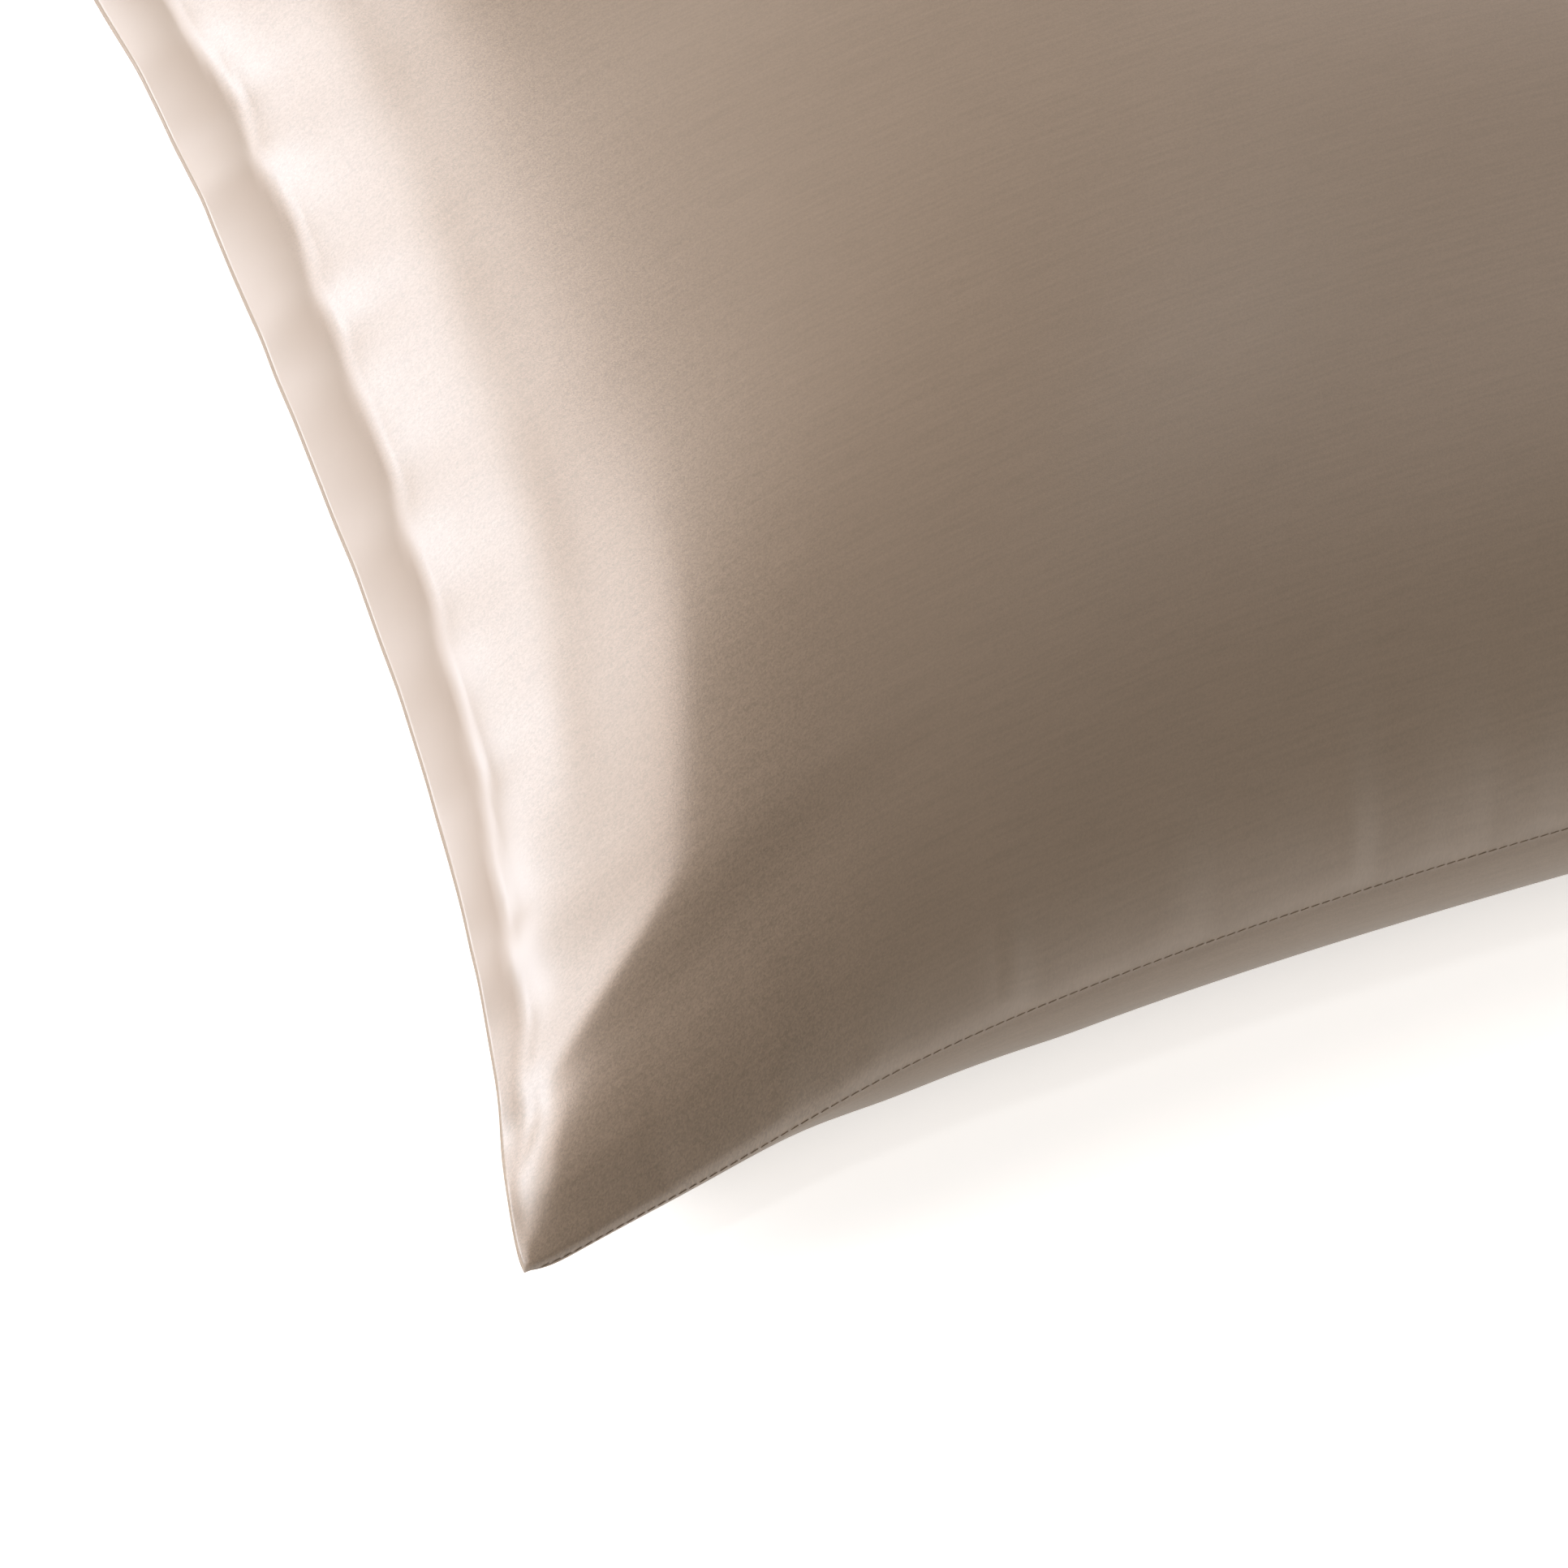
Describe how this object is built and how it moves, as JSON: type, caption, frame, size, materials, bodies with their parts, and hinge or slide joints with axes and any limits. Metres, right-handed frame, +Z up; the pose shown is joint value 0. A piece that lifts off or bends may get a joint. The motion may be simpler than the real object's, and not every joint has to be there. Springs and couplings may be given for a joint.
{
  "type": "filled pillowcase",
  "caption": "Oblong satin pillowcase filled with its pillow and lying on its back: a crowned front, drawn-in sides with pointed corners, and a flat band at the open end.",
  "frame": {"origin": "under the middle of the case, on the surface that it lies on", "axes": "+X along the long side, away from the open end; +Y along the short side; +Z up through the crown"},
  "size_m": [0.745, 0.497, 0.1646],
  "materials": {
    "satin": "champagne taupe satin weave, glossy along the threads"
  },
  "bodies": {
    "root": {"pillowcase": "satin"}
  },
  "joints": []
}
